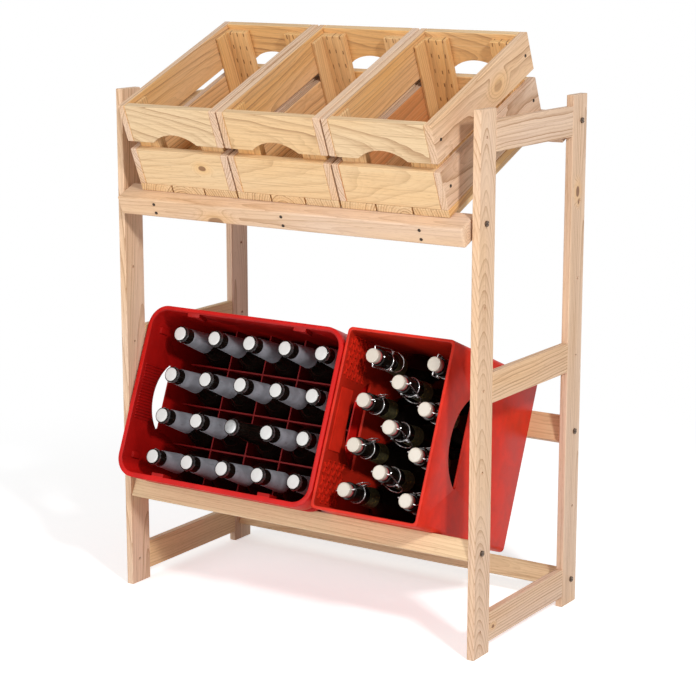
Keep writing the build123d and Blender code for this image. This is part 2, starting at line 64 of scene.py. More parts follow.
NODES = frame["nodes"]
JOINTS = {joint["name"]: joint for joint in frame["joints"]}
ACROSS = Vector((1.0, 0.0, 0.0))
DEEP = Vector((0.0, 1.0, 0.0))
UP = Vector((0.0, 0.0, 1.0))
LIFT = Vector(JOINTS["left_crate_lift"]["axis"]).normalized()
DRAW = Vector(JOINTS["large_crate_draw"]["axis"]).normalized()
SHELF = LIFT.cross(ACROSS)
STACK = DRAW.cross(ACROSS)
CRATES = ("left", "middle", "right")
COLUMNS = 5
ROWS = 4
BARE_CAP = 7
MERGE = 0.00002
WHITE = (1.0, 1.0, 1.0, 1.0)


def colour(name, default, description):
    """A colour that a user may change."""
    return FloatVectorProperty(
        name=name, description=description, subtype="COLOR", size=3, min=0.0, max=1.0, default=default
    )


def length(name, default, description):
    """A size in metres that a user may change."""
    return FloatProperty(
        name=name, description=description, subtype="DISTANCE", unit="LENGTH", default=default
    )


def number(name, default, description):
    """A plain number that a user may change."""
    return FloatProperty(name=name, description=description, default=default)


class PineSettings(bpy.types.PropertyGroup):
    """Colours and grain of the pine."""

    pale: colour("Pale wood", (0.78, 0.575, 0.345), "Early wood of the crates")
    blush: colour("Blush wood", (0.765, 0.565, 0.425), "Early wood of the rack")
    warm: colour("Warm wood", (0.80, 0.445, 0.150), "Late wood and darker boards")
    # Used only as red-brown painted shade on the inner faces of the right crate's lower boards.
    core: colour("Core wood", (0.60, 0.225, 0.068), "Red-brown boards from the middle of the log")
    line: colour("Ring line", (0.34, 0.165, 0.070), "Sharp end of each ring")
    knot: colour("Knot", (0.17, 0.06, 0.022), "Heart of a knot")
    ring: length("Ring spacing", 0.0046, "Distance between two rings")
    fibre: length("Fibre", 0.0012, "Width of the fine streaks")
    board: length("Board", 0.013, "Thickness of the crates' boards")


class CrateSettings(bpy.types.PropertyGroup):
    """Colours and sizes of the moulded bottle crates."""

    large: colour("Large crate", (0.60, 0.008, 0.006), "Red of the large bottle crate")
    small: colour("Small crate", (0.70, 0.026, 0.010), "Red of the small bottle crate")
    # Darker than the crates' reds: painted shade on the grid and the pegs.
    inner: colour("Partition", (0.27, 0.007, 0.008), "Red of the grid and the pegs")
    edge: length("Moulded edge", 0.0011, "Width of the rounded edges")
    large_wall: length("Large wall", 0.008, "From the large crate's outside to its room")
    large_corner: length("Large corner", 0.028, "Radius of the large crate's inner corners")
    small_wall: length("Small wall", 0.005, "From the small crate's outside to its room")
    small_corner: length("Small corner", 0.006, "Radius of the small crate's inner corners")


class BottleSettings(bpy.types.PropertyGroup):
    """Sizes and colours of the bottles and what closes them."""

    radius: length("Bottle radius", 0.0335, "Outer radius of a bottle")
    neck: length("Neck radius", 0.0175, "Radius at the foot of the neck")
    lip: length("Lip radius", 0.0132, "Radius under the lip")
    reach: length("Neck length", 0.080, "From the mouth down to the foot of the neck")
    crown: length("Crown bottle", 0.270, "Height of a crown bottle")
    swing: length("Swing bottle", 0.258, "Height of a swing-top bottle")
    pivot: length("Bail pivot", 0.229, "Height of the bail's pivot above the foot")
    aside: length("Pivot aside", 0.012, "From the bottle's axis to the bail's pivot")
    wire: length("Wire radius", 0.0011, "Radius of the wire of collars and bails")
    sides: IntProperty(name="Sides", description="Faces round a bottle", default=40, min=12)
    glass: colour("Glass", (0.006, 0.004, 0.003), "Very dark brown glass")
    enamel: colour("Cap", (0.60, 0.595, 0.58), "White lacquer of the crown caps")
    tin: colour("Bare cap", (0.30, 0.30, 0.30), "Bare tin of one cap and of the caps' skirts")
    foil: colour("Sleeve", (0.295, 0.300, 0.330), "Silver-grey neck sleeve")
    label: colour("Neck label", (0.030, 0.026, 0.010), "Dark label round the necks of the swing-top bottles")
    gold: colour("Label gold", (0.42, 0.31, 0.08), "Flecks on the neck label")
    ceramic: colour("Stopper", (0.60, 0.545, 0.46), "Glazed stopper")
    rubber: colour("Gasket", (0.48, 0.075, 0.085), "Rubber ring under a stopper")
    steel: colour("Wire", (0.68, 0.68, 0.68), "Drawn wire of collars and bails")


class StageSettings(bpy.types.PropertyGroup):
    """Camera, lamps and ground."""

    lens: number("Lens", 104.3, "Focal length in millimetres on a 36 mm sensor")
    place: FloatVectorProperty(
        name="Camera",
        description="Where the camera stands",
        subtype="TRANSLATION",
        default=(1.8193, -2.7647, 1.1472),
    )
    turn: number("Turn", 33.085, "Camera turned to the left, in degrees")
    tip: number("Tip", 12.11, "Camera tipped down, in degrees")
    key: number("Key lamp", 80.0, "Power of the small lamp at the right, in watts")
    fill: number("Fill lamp", 51.0, "Power of the broad lamp at the front left, in watts")
    sky: number("Sky", 0.41, "Strength of the even light all round")
    ground: colour("Ground", (0.93, 0.93, 0.93), "Colour of the floor")


def settings(group):
    """One of the groups above, as it stands in the scene."""
    return getattr(bpy.context.scene, group)


def both_ways(kind):
    """An operator of sockets and its reflected form."""

    def straight(self, other):
        return self.sum(kind, self, other)

    def reflected(self, other):
        return self.sum(kind, other, self)

    return straight, reflected


class Plug:
    """A shader socket that can be used in sums."""

    def __init__(self, sheet, socket):
        self.sheet = sheet
        self.socket = socket

    def sum(self, kind, first, second=0.0):
        return self.sheet.add("ShaderNodeMath", {"operation": kind}, {0: first, 1: second})

    __add__, __radd__ = both_ways("ADD")
    __sub__, __rsub__ = both_ways("SUBTRACT")
    __mul__, __rmul__ = both_ways("MULTIPLY")
    __truediv__, __rtruediv__ = both_ways("DIVIDE")
    __pow__, __rpow__ = both_ways("POWER")
    __gt__, __lt__ = both_ways("GREATER_THAN")

    def __abs__(self):
        return self.sum("ABSOLUTE", self)

    def floor(self):
        return self.sum("FLOOR", self)

    def fraction(self):
        return self.sum("FRACT", self)

    def sine(self):
        return self.sum("SINE", self)

    def larger(self, other):
        return self.sum("MAXIMUM", self, other)

    def ramp(self, low, high, start=0.0, end=1.0):
        """Smooth step from start to end between low and high."""
        return self.sheet.add(
            "ShaderNodeMapRange",
            {"interpolation_type": "SMOOTHSTEP"},
            {"Value": self, "From Min": low, "From Max": high, "To Min": start, "To Max": end},
        )


class Sheet:
    """A material being written."""

    def __init__(self, name):
        self.material = bpy.data.materials.new(name)
        self.material.use_nodes = True
        self.tree = self.material.node_tree
        self.tree.nodes.clear()
        self.point = self.place()

    def add(self, kind, options=None, values=None, output=0):
        """A node with its settings and the values or links of its sockets."""
        node = self.tree.nodes.new(kind)
        for key, value in (options or {}).items():
            setattr(node, key, value)
        for key, value in (values or {}).items():
            if isinstance(value, Plug):
                self.tree.links.new(value.socket, node.inputs[key])
            else:
                node.inputs[key].default_value = value
        return Plug(self, node.outputs[output]) if node.outputs else node

    def place(self):
        """Object coordinates, in metres in the rack's own frame."""
        return self.add("ShaderNodeTexCoord", output="Object")

    def along(self, axis):
        """How far the surface lies along an axis."""
        values = {0: self.point, 1: tuple(axis)}
        return self.add("ShaderNodeVectorMath", {"operation": "DOT_PRODUCT"}, values, "Value")

    def vector(self, x, y, z):
        """Three numbers as one point."""
        return self.add("ShaderNodeCombineXYZ", None, {0: x, 1: y, 2: z})

    def noise(self, scale, detail=2.0, rough=0.5, point=None):
        """Noise with a mean of about a half, on the surface or at another point."""
        values = {"Vector": point or self.point, "Scale": scale, "Detail": detail, "Roughness": rough}
        return self.add("ShaderNodeTexNoise", None, values, "Fac")

    def drawn_noise(self, across, along, detail, rough):
        """Noise with one scale across the bottles' axis and another along it."""
        scales = ((ACROSS, across), (DRAW, along), (STACK, across))
        drawn = self.vector(*(self.along(axis) * scale for axis, scale in scales))
        return self.noise(1.0, detail, rough, drawn)

    def tint(self, share, first, second):
        """A colour between two others."""
        first = first if isinstance(first, Plug) else (*first, 1.0)
        second = second if isinstance(second, Plug) else (*second, 1.0)
        return self.add("ShaderNodeMix", {"data_type": "RGBA"}, {0: share, 6: first, 7: second}, 2)

    def bump(self, height, distance, strength):
        """A normal that follows a height, with the depth in metres of a height of one."""
        values = {"Height": height, "Distance": distance, "Strength": strength}
        return self.add("ShaderNodeBump", None, values)

    def finish(self, **values):
        """Close the sheet with one principled surface."""
        named = {key.replace("_", " "): value for key, value in values.items()}
        surface = self.add("ShaderNodeBsdfPrincipled", None, named)
        self.add("ShaderNodeOutputMaterial", None, {"Surface": surface})
        return self.material


def wave(value, rate):
    """Sine of a number or of a socket."""
    return (value * rate).sine() if isinstance(value, Plug) else math.sin(value * rate)


def scaled(shade, share):
    """A colour made darker or paler."""
    return [part * share for part in shade]


def dress(thing, material):
    """Give an object one material all over."""
    thing.data.materials.clear()
    thing.data.materials.append(material)


def middle(node):
    """Middle of a node's box."""
    low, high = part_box(node)
    return (low + high) / 2


def span(node, axis):
    """Lowest and highest place of a node along an axis."""
    places = [vertex.co.dot(axis) for vertex in NODES[node].data.vertices]
    return min(places), max(places)


def halfway(node, axis):
    """An axis, and the place along it that cuts a node into halves."""
    return axis, sum(span(node, axis)) / 2


class Pine(Sheet):
    """Sawn pine: rings round a heart behind the board, and streaks, pores and knots along the grain.

    heart is a point in the board, grain the way the fibres run and face the normal of its wide side. Each
    split is an axis and a place along it where one board of a group ends and the next begins.
    """

    # Metres from a board's middle back to its heart, how far a set knot reaches, and the chance of none.
    HEART_BEHIND = 0.019
    KNOT_THROUGH = 0.03
    NO_KNOT = 0.86

    def __init__(self, name, heart, grain, face, seed, splits):
        super().__init__(name)
        self.look = settings("rack_pine")
        self.axes = (grain, grain.cross(face), face)
        self.shift = seed * 1.618
        for power, (axis, edge) in enumerate(splits):
            self.shift = self.shift + self.above(axis, edge) * (1.37 * 2.03**power)
        self.lengthwise, self.wide, self.thick = self.away(heart)
        self.run = self.lengthwise + self.shift * 0.731
        self.sway = self.fibres(2.6, 9.0) - 0.5
        self.wobble = self.fibres(16.0, 45.0) - 0.5

    def above(self, axis, edge):
        """One where the surface lies beyond a place along an axis."""
        return self.along(axis) > edge

    def off(self, place, axis):
        """How far the surface lies from a place, along an axis."""
        return self.along(axis) - place.dot(axis)

    def away(self, place):
        """How far the surface lies from a place along the board, across it and through it."""
        return [self.off(place, axis) for axis in self.axes]

    def fibres(self, along, across, drift=1.0, detail=2.0):
        """Noise drawn out along the grain, with a scale each way and a drift from board to board."""
        deep = self.thick * across + self.shift * drift
        return self.noise(1.0, detail, point=self.vector(self.run * along, self.wide * across, deep))

    def cell(self, output):
        """One output of the wide cells, some of which hold a knot."""
        point = self.vector(self.run * 4.6, self.wide * 8.0 + self.shift, self.thick * 4.0)
        values = {"Vector": point, "Scale": 1.0, "Randomness": 0.5}
        return self.add("ShaderNodeTexVoronoi", {"feature": "F1", "distance": "EUCLIDEAN"}, values, output)

    def knots(self, marks):
        """How much the rings swell round the knots, and how dark the knots are.

        Each mark is a knot in a set place: a point, a radius and a depth of colour.
        """
        reach = self.cell("Distance")
        chance = self.add("ShaderNodeSeparateColor", None, {"Color": self.cell("Color")})
        chosen = chance > self.NO_KNOT
        swell = reach.ramp(0.02, 0.22, 1.0, 0.0) * chosen
        dark = (reach + self.wobble * 0.03).ramp(0.025, 0.055, 1.0, 0.0) * chosen
        for place, radius, depth in marks:
            away, across, through = self.away(place)
            other = abs(through) > self.KNOT_THROUGH
            far = (away * away * 0.4 + across * across) ** 0.5 / radius + self.wobble * 0.5 + other * 9.0
            swell = swell.larger(far.ramp(0.5, 3.4, 1.0, 0.0))
            dark = dark.larger(far.ramp(0.75, 1.05, depth, 0.0))
        return swell, dark

    def rings(self, arch, quarter, swell):
        """Number of rings from the heart out to the surface."""
        aside = self.wide - wave(self.shift, 12.9) * quarter + self.sway * 0.012
        behind = self.thick + self.HEART_BEHIND + wave(self.shift, 7.7) * 0.007 + self.sway * 0.016
        ring = (aside * aside + behind * behind) ** 0.5 / self.look.ring
        return ring + self.run * (arch + wave(self.shift, 3.1) * 7.0) + self.wobble * 0.5 + swell * 3.2

    def inner(self, axis, centre, half, lean):
        """One on the inner faces of a crate, where the pine gets painted shade.

        half is half the width of its room along the axis, at the height of its centre, and lean is how
        much that grows with the height.
        """
        width = abs(self.off(centre, axis)) - self.off(centre, LIFT) * lean
        return 1.0 - (width > half)

    def staples(self, step):
        """Rows of small marks along the grain."""
        row = (self.lengthwise / step + self.wobble * 0.6).fraction() - 0.5
        column = (self.wide / (step * 0.5) + self.wobble * 0.4).fraction() - 0.5
        return abs(row).ramp(0.10, 0.16, 1.0, 0.0) * abs(column).ramp(0.05, 0.10, 1.0, 0.0)


def saw(node, grain, face, seed, tone, splits=(), base="pale", **more):
    """Give a node pine of its own: tone runs from pale to warm, and base names the early wood.

    More can be told: arch is the number of ring tips in a metre, quarter how far the heart lies to the
    side, contrast the strength of the rings, knots the knots in set places, calm a height below which the
    rings are faint, staples the distance between staple marks, inside the inner faces of a crate, which
    get a warmer colour as painted shade, and core_shade_below a height below which those faces get
    red-brown painted shade.
    """
    sheet = Pine(f"{node}_pine", middle(node), grain, face, seed, splits)
    look, shift, run = sheet.look, sheet.shift, sheet.run
    contrast = more.get("contrast", 1.0)
    if "calm" in more:
        contrast = contrast * (0.4 + sheet.above(LIFT, more["calm"]) * 0.6)
    swell, dark = sheet.knots(more.get("knots", ()))
    ring = sheet.rings(more.get("arch", 0.0), more.get("quarter", 0.02), swell)
    late = ring.fraction() ** 4.0
    thin = (ring * 2.7 + sheet.wobble * 1.5).fraction() ** 3.0
    strength_point = sheet.vector(ring.floor() * 7.3, shift, run * 1.5)
    strength = sheet.noise(1.0, 1.0, point=strength_point).ramp(0.30, 0.68)
    streak = sheet.fibres(4.5, 0.5 / look.fibre, 20.0) - 0.5
    pores = sheet.fibres(70.0, 1000.0, 9.0, 1.0)
    patch_point = sheet.vector(run * 2.4, sheet.wide * 11.0 + shift * 5.0, sheet.thick * 11.0)
    patch = sheet.noise(1.0, 3.0, point=patch_point)
    warmth = patch.ramp(0.30, 0.80, 0.0, 0.42) + (tone - 0.5) + wave(shift, 5.3) * 0.10
    # Painted shade: the inner faces of a crate are made warmer.
    inner = sheet.inner(*more["inside"]) if "inside" in more else 0.0
    wood = sheet.tint(warmth + inner * 0.54, getattr(look, base), look.warm)
    # Painted shade: red-brown on the inner faces below a height.
    if "core_shade_below" in more:
        below = 1.0 - sheet.above(LIFT, more["core_shade_below"])
        wood = sheet.tint(inner * below * 0.85, wood, look.core)
    wood = sheet.tint(late * (0.16 + strength * 0.62) * contrast, wood, look.line)
    wood = sheet.tint(thin * (0.05 + strength * 0.22) * contrast, wood, look.line)
    wood = sheet.tint(pores.ramp(0.60, 0.74, 0.0, 0.30), wood, look.line)
    wood = sheet.tint(streak.ramp(-0.02, 0.30, 0.0, 0.42), wood, look.line)
    wood = sheet.tint(streak.ramp(0.02, -0.30, 0.0, 0.30), wood, look.pale)
    wood = sheet.tint(swell * 0.38, wood, look.warm)
    wood = sheet.tint(dark * 0.86, wood, look.knot)
    if "staples" in more:
        marks = sheet.staples(more["staples"]) * patch.ramp(0.40, 0.52)
        wood = sheet.tint(marks * 0.85, wood, look.knot)
    rough = 0.52 + streak * 0.14 + late * 0.06 - dark * 0.12
    normal = sheet.bump(streak * 0.6 + late * 0.5, 0.0005, 0.5)
    board = sheet.finish(Base_Color=wood, Roughness=rough, Normal=normal, Specular_IOR_Level=0.25)
    dress(NODES[node], board)


def beyond_room(sheet, centre, half_wide, half_deep, corner):
    """How far the surface lies outside a room with rounded corners, seen along the bottles' axis."""
    square = 0.0
    for axis, half in ((ACROSS, half_wide), (STACK, half_deep)):
        off = sheet.along(axis) - centre.dot(axis)
        past = (abs(off) - (half - corner)).larger(0.0)
        square = past * past + square
    return square**0.5 - corner


def plastic(name, shade, seed, gloss=0.17, room=None):
    """Moulded plastic that has been in use: soft mottling and scuffs, and painted shade inside a crate's
    room.

    room is the middle of a crate, half of its inner width and depth, and the radius of its inner corners.
    """
    sheet = Sheet(name)
    mottle = sheet.noise(26.0 + seed, 4.0, 0.6)
    worn = sheet.drawn_noise(35.0, 240.0, 5.0, 0.65).ramp(0.60, 0.78)
    fine = sheet.noise(900.0, 2.0)
    paler = [min(1.0, part * 1.12 + 0.020) for part in shade]
    skin = sheet.tint(mottle.ramp(0.32, 0.70), scaled(shade, 0.80), shade)
    skin = sheet.tint(worn * 0.30, skin, paler)
    if room:
        # Painted shade: darker inside the crate's room.
        shaded = beyond_room(sheet, *room).ramp(0.0003, 0.0013, 0.55, 0.0)
        skin = sheet.tint(shaded, skin, scaled(shade, 0.30))
    rough = 0.36 + mottle * 0.14 + worn * 0.20
    normal = sheet.bump(fine * 0.35 + mottle, 0.0004, 0.35)
    return sheet.finish(Base_Color=skin, Roughness=rough, Normal=normal, Specular_IOR_Level=gloss)


def glass():
    """Glass so dark that it reads as black, with a thin film and a few water marks."""
    look = settings("rack_bottles")
    sheet = Sheet("dark_bottle_glass")
    film = sheet.noise(60.0, 4.0, 0.6)
    drops = sheet.noise(420.0, 2.0).ramp(0.63, 0.70)
    body = sheet.tint(film.ramp(0.35, 0.75), look.glass, scaled(look.glass, 2.2))
    rough = 0.07 + film.ramp(0.45, 0.8) * 0.10 + drops * 0.08
    normal = sheet.bump(film, 0.0006, 0.25)
    return sheet.finish(Base_Color=body, Roughness=rough, Normal=normal, Specular_IOR_Level=0.30)


def lacquer(name, shade, metallic, seed):
    """Tinplate of a crown cap: glossy, slightly dented and rubbed."""
    sheet = Sheet(name)
    dent = sheet.noise(130.0 + seed, 2.0)
    rub = sheet.noise(700.0, 4.0, 0.6).ramp(0.62, 0.74)
    face = sheet.tint(rub * 0.4, shade, (0.42, 0.41, 0.40))
    rough = 0.24 + dent * 0.12 + rub * 0.2
    normal = sheet.bump(dent, 0.0012, 0.4)
    return sheet.finish(Base_Color=face, Roughness=rough, Metallic=metallic, Normal=normal)


def satin():
    """Satin silver-grey film round a neck, a little creased."""
    look = settings("rack_bottles")
    sheet = Sheet("sleeve_film")
    cloud = sheet.noise(45.0, 3.0)
    crease = sheet.drawn_noise(190.0, 60.0, 3.0, 0.6)
    face = sheet.tint(cloud.ramp(0.35, 0.68), look.foil, scaled(look.foil, 1.45))
    face = sheet.tint(crease.ramp(0.60, 0.72) * 0.45, face, scaled(look.foil, 0.45))
    normal = sheet.bump(crease, 0.0007, 0.4)
    return sheet.finish(Base_Color=face, Roughness=0.36 + crease * 0.16, Metallic=0.25, Normal=normal)


def label():
    """A dark paper label round a neck with a few worn flecks of gold."""
    look = settings("rack_bottles")
    sheet = Sheet("neck_label_paper")
    grain = sheet.noise(260.0, 4.0, 0.6)
    fleck = sheet.noise(150.0, 3.0, 0.65).ramp(0.60, 0.66)
    face = sheet.tint(grain.ramp(0.35, 0.7), look.label, scaled(look.label, 2.6))
    face = sheet.tint(fleck * 0.8, face, look.gold)
    rough = 0.50 - fleck * 0.18 + grain * 0.1
    normal = sheet.bump(grain, 0.0004, 0.4)
    return sheet.finish(Base_Color=face, Roughness=rough, Metallic=fleck * 0.5, Normal=normal)


def glaze():
    """Glazed ceramic with a faint crackle and a little grime in it."""
    sheet = Sheet("glazed_ceramic")
    cracks = {"feature": "DISTANCE_TO_EDGE"}
    crackle = sheet.add("ShaderNodeTexVoronoi", cracks, {"Vector": sheet.point, "Scale": 420.0})
    grime = sheet.noise(220.0, 4.0, 0.6).ramp(0.52, 0.78)
    shade = settings("rack_bottles").ceramic
    face = sheet.tint(grime * 0.30, shade, (0.46, 0.40, 0.31))
    face = sheet.tint(crackle.ramp(0.0, 0.03, 0.10, 0.0), face, (0.30, 0.25, 0.20))
    return sheet.finish(Base_Color=face, Roughness=0.20 + grime * 0.2, Coat_Weight=0.25)


def rubber():
    """Old red rubber, dull and a little bleached."""
    sheet = Sheet("gasket_rubber")
    bleach = sheet.noise(300.0, 4.0, 0.6)
    shade = settings("rack_bottles").rubber
    face = sheet.tint(bleach.ramp(0.4, 0.75) * 0.5, shade, (0.62, 0.27, 0.22))
    normal = sheet.bump(bleach, 0.0004, 0.5)
    return sheet.finish(Base_Color=face, Roughness=0.62 + bleach * 0.2, Normal=normal)


def metal(name, shade, rough, stain):
    """Plain steel with a dull stain."""
    sheet = Sheet(name)
    dull = sheet.noise(500.0, 4.0, 0.6).ramp(0.42, 0.75)
    face = sheet.tint(dull * stain, shade, (0.10, 0.07, 0.05))
    return sheet.finish(Base_Color=face, Metallic=1.0 - dull * stain, Roughness=rough + dull * 0.2)


def rest():
    """Leave edit mode with nothing selected."""
    if bpy.context.mode != "OBJECT":
        bpy.ops.object.mode_set(mode="OBJECT")
    bpy.ops.object.select_all(action="DESELECT")


def alone(thing):
    """Make one object the only selected one."""
    rest()
    thing.select_set(True)
    bpy.context.view_layer.objects.active = thing


def edit(thing, action="SELECT"):
    """Open an object in edit mode with all of its mesh selected, or none of it."""
    alone(thing)
    bpy.ops.object.mode_set(mode="EDIT")
    bpy.ops.mesh.select_all(action=action)


def join(parts):
    """Make several objects one with the first of them."""
    rest()
    for part in parts:
        part.select_set(True)
    bpy.context.view_layer.objects.active = parts[0]
    bpy.ops.object.join()
    return parts[0]


def turned(name, outline, sides, level=0.0):
    """A turned body: a disc drawn up ring by ring along an outline of radius and height above a level."""
    rest()
    outline = [(radius, level + height) for radius, height in outline]
    radius, height = outline[0]
    bpy.ops.mesh.primitive_circle_add(
        vertices=sides, radius=radius, fill_type="NGON", location=(0.0, 0.0, 0.0)
    )
    thing = bpy.context.object
    thing.name = name
    edit(thing)
    bpy.ops.transform.translate(value=(0.0, 0.0, height))
    for next_radius, next_height in outline[1:]:
        step = {"value": (0.0, 0.0, next_height - height)}
        bpy.ops.mesh.extrude_region_move(TRANSFORM_OT_translate=step)
        grow = next_radius / radius
        bpy.ops.transform.resize(value=(grow, grow, 1.0), center_override=(0.0, 0.0, next_height))
        radius, height = next_radius, next_height
    bpy.ops.mesh.select_all(action="SELECT")
    bpy.ops.mesh.normals_make_consistent(inside=False)
    bpy.ops.object.mode_set(mode="OBJECT")
    bpy.ops.object.shade_smooth_by_angle(angle=math.radians(38.0))
    return thing


def tube(name, outline, sides):
    """A turned skin that is open at both ends: its outline comes back to where it began."""
    thing = turned(name, outline + outline[:1], sides)
    edit(thing, "DESELECT")
    bpy.ops.mesh.select_face_by_sides(number=sides, type="EQUAL")
    bpy.ops.mesh.delete(type="FACE")
    bpy.ops.mesh.select_all(action="SELECT")
    bpy.ops.mesh.remove_doubles(threshold=MERGE)
    bpy.ops.mesh.normals_make_consistent(inside=False)
    bpy.ops.object.mode_set(mode="OBJECT")
    return thing


def wire(name, points, radius, closed=False):
    """A bent wire along a smooth line through given points."""
    rest()
    line = bpy.data.curves.new(name, "CURVE")
    line.dimensions = "3D"
    run = line.splines.new("NURBS")
    run.points.add(len(points) - 1)
    for spot, point in zip(run.points, points):
        spot.co = (*point, 1.0)
    run.use_cyclic_u = closed
    run.use_endpoint_u = not closed
    run.order_u = 3
    run.resolution_u = 5
    line.bevel_depth = radius
    line.bevel_resolution = 2
    line.use_fill_caps = not closed
    thing = bpy.data.objects.new(name, line)
    bpy.context.scene.collection.objects.link(thing)
    alone(thing)
    bpy.ops.object.convert(target="MESH")
    bpy.ops.object.shade_smooth_by_angle(angle=math.radians(45.0))
    return bpy.context.object


def mirrored(half):
    """A row of points, followed by the same row on the other side in the opposite order."""
    return half + [(x, -y, z) for x, y, z in reversed(half)]


def set_out(pattern, places, bodies, material, slot, *nodes):
    """Copy a modelled piece to each of its places, each with its own mesh, and take the model away."""
    made = []
    for count, (spot, body) in enumerate(zip(places, bodies), 1):
        mesh = pattern.data.copy()
        mesh.transform(spot)
        piece = bpy.data.objects.new(f"{pattern.name}_{count:02d}", mesh)
        bpy.context.scene.collection.objects.link(piece)
        dress(piece, material)
        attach(piece, body)
        for node in nodes:
            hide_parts(node)
        made.append(piece)
    bpy.data.objects.remove(pattern)
    return made


def neck_at(height, level):
    """Radius of a bottle's neck at a level above its foot."""
    look = settings("rack_bottles")
    lip_tall = 0.014
    share = (level - height + look.reach) / (look.reach - lip_tall)
    return look.neck + (look.lip - look.neck) * share


def neck_skin(name, height, below, gap, skin, slope=0.0):
    """A thin skin round a bottle's neck between two depths below its mouth, open at both ends."""
    low, high = (height - depth for depth in below)
    wide, slim = (neck_at(height, level) + gap for level in (low, high))
    outline = [(slim, high), (wide, low), (wide + skin, low)]
    outline += [(slim + skin, high - slope), (slim + skin * 0.5, high)]
    return tube(name, outline, settings("rack_bottles").sides)


def bottle_outline(height, lip):
    """Outside of a bottle, and a little way down inside its mouth."""
    look = settings("rack_bottles")
    radius, neck = look.radius, look.neck
    foot = height - look.reach
    shoulder = 0.70 * foot
    steps = 10
    outline = [(radius - 0.0065, 0.0015), (radius - 0.004, 0.0), (radius - 0.0012, 0.0012), (radius, 0.004)]
    outline.append((radius, 0.69 * foot))
    for step in range(steps + 1):
        share = step / steps
        ease = 0.5 - 0.5 * math.cos(math.pi * share)
        outline.append((radius + (neck - radius) * ease, shoulder + (foot - shoulder) * share))
    outline += [(neck - 0.0003, foot + 0.004), (look.lip, height - 0.0145)]
    outline += [(lip, height - 0.0130), (lip, height - 0.0010), (lip - 0.0012, height), (0.0102, height)]
    outline += [(0.0092, height - 0.001), (0.0090, height - 0.030)]
    return outline


def stand(foot, sideways, turn=0.0):
    """Matrix of a bottle that stands on a foot point along the crates' own axis."""
    base = Matrix((sideways, DRAW.cross(sideways), DRAW)).transposed().to_4x4()
    return Matrix.Translation(foot) @ base @ Matrix.Rotation(turn, 4, "Z")


def crown_places():
    """Matrices that stand a bottle in each cell of the large crate, each turned a little further."""
    look = settings("rack_bottles")
    node = "large_crate_bottles"
    x_low, x_high = span(node, ACROSS)
    s_low, s_high = span(node, STACK)
    foot = span(node, DRAW)[0]
    x_pitch = (x_high - x_low - 2 * look.radius) / (COLUMNS - 1)
    s_pitch = (s_high - s_low - 2 * look.radius) / (ROWS - 1)
    places = []
    for row in range(ROWS):
        for column in range(COLUMNS):
            x = x_low + look.radius + column * x_pitch
            s = s_low + look.radius + row * s_pitch
            turn = 0.9 * (row * COLUMNS + column)
            places.append(stand(ACROSS * x + STACK * s + DRAW * foot, ACROSS, turn))
    return places


def swing_places():
    """Matrices of the swing-top bottles, from the pivots of their tops, and the bodies of those tops."""
    look = settings("rack_bottles")
    places, tops = [], []
    for joint in frame["joints"]:
        if joint["type"] == "hinge":
            pin = Vector(joint["axis"]).normalized()
            sideways = pin.cross(DRAW)
            foot = Vector(joint["pos_m"]) - DRAW * look.pivot - sideways * look.aside
            places.append(stand(foot, sideways))
            tops.append(joint["child"])
    return places, tops


class RACK_OT_pine(bpy.types.Operator):
    """Grain on the posts, rails, bars and bearers, each board cut from another log"""

    bl_idname = "rack.pine"
    bl_label = "Rack Pine"

    ARCHES = {"front_right_post": 52.0, "front_left_post": 18.0, "rear_right_post": 6.0}
    KNOTS = {
        "rear_right_post": [
            (Vector((0.349, 0.178, 0.707)), 0.0062, 1.0),
            (Vector((0.349, 0.182, 0.690)), 0.0030, 1.0),
        ],
        "right_bottom_rail": [(Vector((0.349, -0.085, 0.040)), 0.0032, 1.0)],
    }

    def execute(self, context):
        boards = [*self.side_frame("left", "pale", 0.6), *self.side_frame("right", "blush", 1.5)]
        boards += self.shelves()
        for seed, (node, grain, face, tone, more) in enumerate(boards, 1):
            saw(node, grain, face, float(seed), tone, **more)
        return {"FINISHED"}

    def side_frame(self, side, base, contrast):
        """The posts of one side, and its rails with their early wood and the strength of their rings."""
        for end in ("front", "rear"):
            node = f"{end}_{side}_post"
            more = {"base": "blush", "arch": self.ARCHES.get(node, 10.0), "knots": self.KNOTS.get(node, ())}
            yield node, UP, ACROSS, 0.46, more
        for level in ("top", "middle", "bottom"):
            node = f"{side}_{level}_rail"
            more = {"base": base, "contrast": contrast, "quarter": 0.055, "knots": self.KNOTS.get(node, ())}
            yield node, DEEP, ACROSS, 0.56, more

    def shelves(self):
        """Bars and bearers of both shelves, and the dowels of the rails."""
        edge = middle("shelf_front_bar") - ACROSS * 0.135 - LIFT * 0.016
        more = {"base": "blush", "contrast": 0.7, "knots": [(edge, 0.0105, 0.8)]}
        for node in ("shelf_front_bar", "shelf_rear_bar"):
            yield node, ACROSS, SHELF, 0.48, more
        # The lower bars' pale wood is made paler still: painted light against the crates' shade.
        for node in ("lower_front_bar", "lower_rear_bar", "lean_bar"):
            yield node, ACROSS, DRAW, 0.40, {"contrast": 0.6, "quarter": 0.04}
        for name in CRATES:
            yield f"shelf_{name}_bearer", SHELF, LIFT, 0.62, {}
        yield "rail_dowels", DEEP, ACROSS, 0.6, {}


